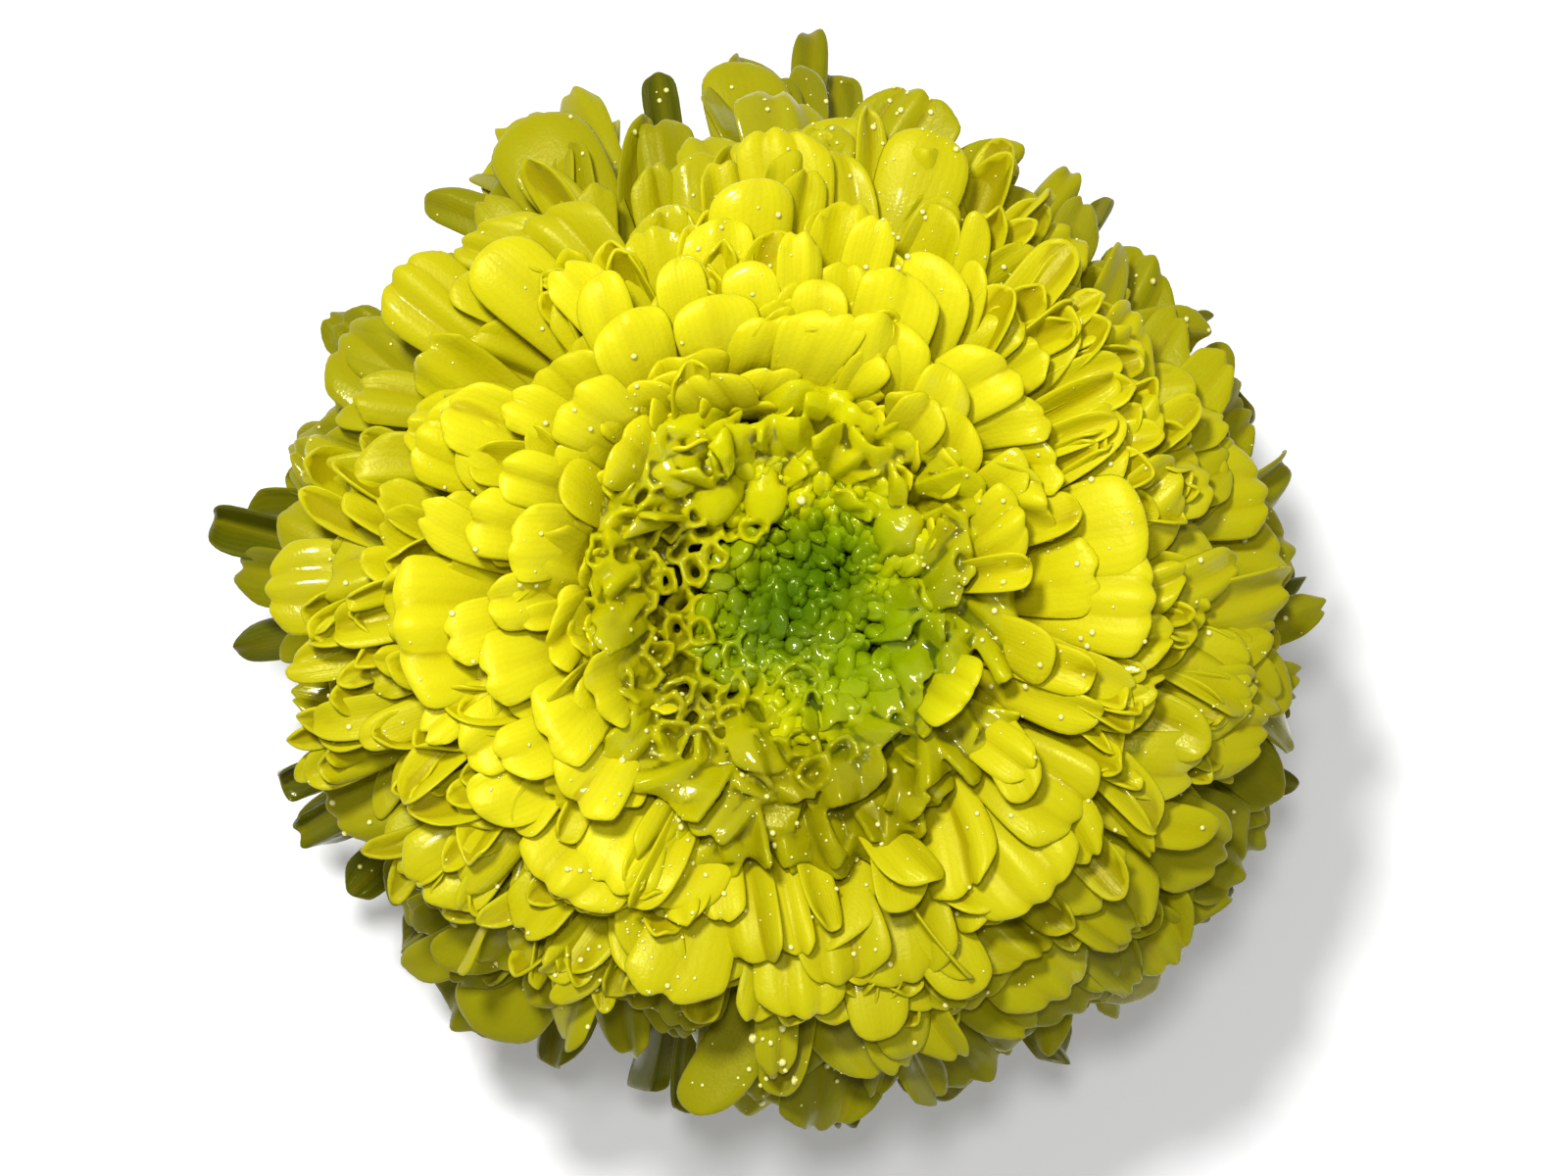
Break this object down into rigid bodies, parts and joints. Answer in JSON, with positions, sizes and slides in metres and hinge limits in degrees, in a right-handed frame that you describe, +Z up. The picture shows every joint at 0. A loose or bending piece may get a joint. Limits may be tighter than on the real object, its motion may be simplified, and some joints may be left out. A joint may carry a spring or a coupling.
{
  "type": "marigold flower head",
  "caption": "Fully double marigold flower head, picked below its calyx: layered petals round a ruffled collar and a green heart of closed buds, resting face up.",
  "frame": {"origin": "middle of the flat cut across the neck, on the surface that the head rests on", "axes": "+Z up along the flower's axis, from the cut neck to the green heart; the head is round about it, so +X and +Y only fix its turn"},
  "size_m": [0.0782, 0.0795, 0.0458],
  "materials": {
    "neck_green": "satin, fleshy green stem",
    "calyx_green": "satin, smooth green bracts",
    "lemon_petal": "soft satin, lemon yellow, wet",
    "yellow_green_petal": "waxy, yellow green",
    "heart_green": "waxy, leaf green"
  },
  "bodies": {
    "root": {"receptacle": "neck_green", "calyx": "calyx_green", "petals": "lemon_petal", "collar_florets": "yellow_green_petal", "heart_florets": "heart_green"}
  },
  "joints": []
}
